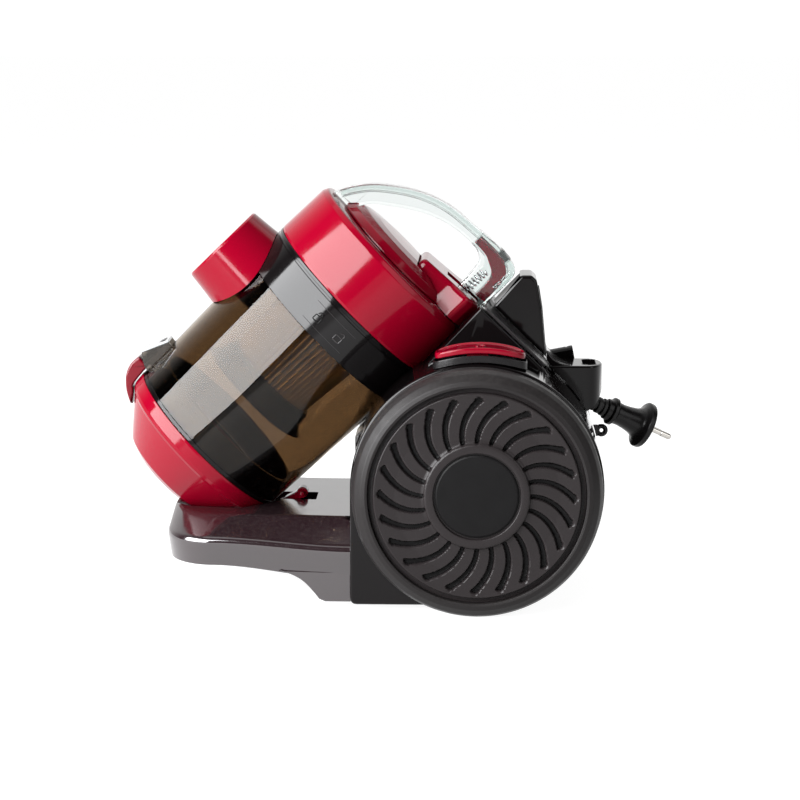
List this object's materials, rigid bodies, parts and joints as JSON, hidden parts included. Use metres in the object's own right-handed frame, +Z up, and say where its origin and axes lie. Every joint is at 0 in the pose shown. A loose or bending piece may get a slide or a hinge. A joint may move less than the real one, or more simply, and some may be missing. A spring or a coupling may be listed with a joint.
{
  "type": "canister vacuum cleaner",
  "caption": "Bagless canister vacuum cleaner with a tilted clear dust container, arched carrying handle, large rear wheels, foot pedals and a cord reel",
  "frame": {"origin": "bottom centre of the bounding box, plug included, on the floor", "axes": "+Z up, -Y towards the front (container and hose inlet), +X towards the cleaner's left side"},
  "size_m": [0.275, 0.4222, 0.3079],
  "materials": {
    "gloss_red": "high gloss moulded crimson ABS",
    "deep_red": "gloss darker red",
    "gloss_black": "high gloss black",
    "satin_black": "satin black",
    "tray_brown": "gloss dark brown",
    "ridge_grey": "satin dark grey",
    "tyre_soft": "soft matt tread",
    "wheel_satin": "fine satin dark grey",
    "cap_black": "satin near black",
    "smoked_clear": "smoked transparent plastic",
    "clear_plastic": "clear transparent plastic",
    "filter_paper": "pleated filter paper",
    "filter_foam": "open foam",
    "cord_rubber": "matt black cord sheath",
    "steel": "plain steel",
    "nickel": "nickel plated brass",
    "stator_copper": "copper winding and laminations",
    "inner_plastic": "unpainted grey plastic"
  },
  "bodies": {
    "chassis": {"housing": "gloss_black", "underside_plate": "satin_black", "base_tray": "tray_brown", "tray_foot": "tray_brown", "ridge_strip": "ridge_grey", "rear_tower": "gloss_black", "axle_left": "steel", "axle_right": "steel", "pedal_socket_left": "satin_black", "pedal_socket_right": "satin_black", "castor_socket": "inner_plastic", "parking_bracket": "satin_black", "accessory_peg": "satin_black", "rear_eyelet": "satin_black", "cord_outlet": "satin_black", "cord_run": "cord_rubber", "reel_spring_case": "steel", "reel_brake": "inner_plastic", "fan_shroud": "inner_plastic", "motor_can": "steel", "stator": "stator_copper", "pre_motor_filter": "filter_foam", "exhaust_filter": "filter_paper", "power_switch": "inner_plastic"},
    "wheel_left": {"wheel_left_tyre": "tyre_soft", "wheel_left_disc": "wheel_satin", "wheel_left_cap": "cap_black"},
    "wheel_right": {"wheel_right_tyre": "tyre_soft", "wheel_right_disc": "wheel_satin", "wheel_right_cap": "cap_black"},
    "castor": {"castor_fork": "inner_plastic"},
    "castor_roller": {"castor_wheel": "tyre_soft"},
    "left_pedal": {"pedal_left": "gloss_red"},
    "right_pedal": {"pedal_right": "gloss_red"},
    "reel": {"cord_reel": "inner_plastic", "cord_winding": "cord_rubber"},
    "plug": {"cord_tail": "cord_rubber", "strain_relief": "cord_rubber", "plug_body": "satin_black", "plug_pin_left": "nickel", "plug_pin_right": "nickel"},
    "rotor": {"impeller": "steel", "motor_shaft": "steel"},
    "container": {"dust_bin": "smoked_clear", "bin_top_ring": "gloss_black", "bin_base_ring": "gloss_black", "inlet_collar": "gloss_red", "inlet_duct": "gloss_black", "flap_hinge": "gloss_black"},
    "flap": {"bin_flap": "gloss_red"},
    "latch": {"flap_latch": "deep_red"},
    "lid_group": {"lid": "gloss_red", "lid_panel": "gloss_red", "lid_rear_block": "gloss_red", "carry_handle": "clear_plastic", "release_spring": "steel"},
    "filter": {"filter_pleats": "filter_paper", "filter_shroud": "gloss_black"},
    "release": {"release_lever": "deep_red", "release_button": "satin_black"}
  },
  "joints": [
    {"name": "wheel_left_spin", "type": "hinge", "parent": "chassis", "child": "wheel_left", "pos_m": [0.125, 0.0578, 0.092], "axis": [1, 0, 0], "continuous": true},
    {"name": "wheel_right_spin", "type": "hinge", "parent": "chassis", "child": "wheel_right", "pos_m": [-0.125, 0.0578, 0.092], "axis": [1, 0, 0], "continuous": true},
    {"name": "castor_swivel", "type": "hinge", "parent": "chassis", "child": "castor", "pos_m": [0, -0.0702, 0.03], "axis": [0, 0, 1], "continuous": true},
    {"name": "castor_roll", "type": "hinge", "parent": "castor", "child": "castor_roller", "pos_m": [0, -0.0632, 0.0115], "axis": [1, 0, 0], "continuous": true},
    {"name": "pedal_left_press", "type": "slide", "parent": "chassis", "child": "left_pedal", "axis": [0, 0, -1], "range_m": [0, 0.0035], "stiffness_N_per_m": 1000, "springref_m": -0.004},
    {"name": "pedal_right_press", "type": "slide", "parent": "chassis", "child": "right_pedal", "axis": [0, 0, -1], "range_m": [0, 0.0035], "stiffness_N_per_m": 1000, "springref_m": -0.004},
    {"name": "reel_spin", "type": "hinge", "parent": "chassis", "child": "reel", "pos_m": [-0.0375, 0.0658, 0.092], "axis": [-1, 0, 0], "range_deg": [0, 65]},
    {"name": "plug_pull", "type": "slide", "parent": "chassis", "child": "plug", "axis": [-0.2498, 0.8712, -0.4226], "range_m": [0, 0.04]},
    {"name": "fan_spin", "type": "hinge", "parent": "chassis", "child": "rotor", "pos_m": [0.06, 0.0778, 0.084], "axis": [1, 0, 0], "continuous": true},
    {"name": "container_lift", "type": "slide", "parent": "chassis", "child": "container", "axis": [0, 0, 1], "range_m": [0, 0.25]},
    {"name": "flap_open", "type": "hinge", "parent": "container", "child": "flap", "pos_m": [0, -0.07804, 0.06789], "axis": [1, 0, 0], "range_deg": [0, 85]},
    {"name": "flap_latch_press", "type": "hinge", "parent": "container", "child": "latch", "pos_m": [0, -0.1887, 0.18234], "axis": [-1, 0, 0], "range_deg": [0, 9], "stiffness_Nm_per_rad": 0.4, "springref_deg": -11.46},
    {"name": "lid_twist", "type": "hinge", "parent": "container", "child": "lid_group", "pos_m": [0, -0.02841, 0.22869], "axis": [0, 0.7193, 0.6947], "range_deg": [0, 20]},
    {"name": "filter_pull", "type": "slide", "parent": "lid_group", "child": "filter", "axis": [0, -0.7193, -0.6947], "range_m": [0, 0.045]},
    {"name": "release_press", "type": "hinge", "parent": "lid_group", "child": "release", "pos_m": [0, 0.05779, 0.26467], "axis": [-1, 0, 0], "range_deg": [0, 4.5], "stiffness_Nm_per_rad": 1.5, "springref_deg": -8.59, "deforming": ["release_spring"]}
  ],
  "couplings": [
    {"joint": "plug_pull", "follows": "reel_spin", "m_per_rad": 0.035},
    {"joint": "flap_open", "follows": "container_lift", "rad_per_m": 5.9}
  ]
}
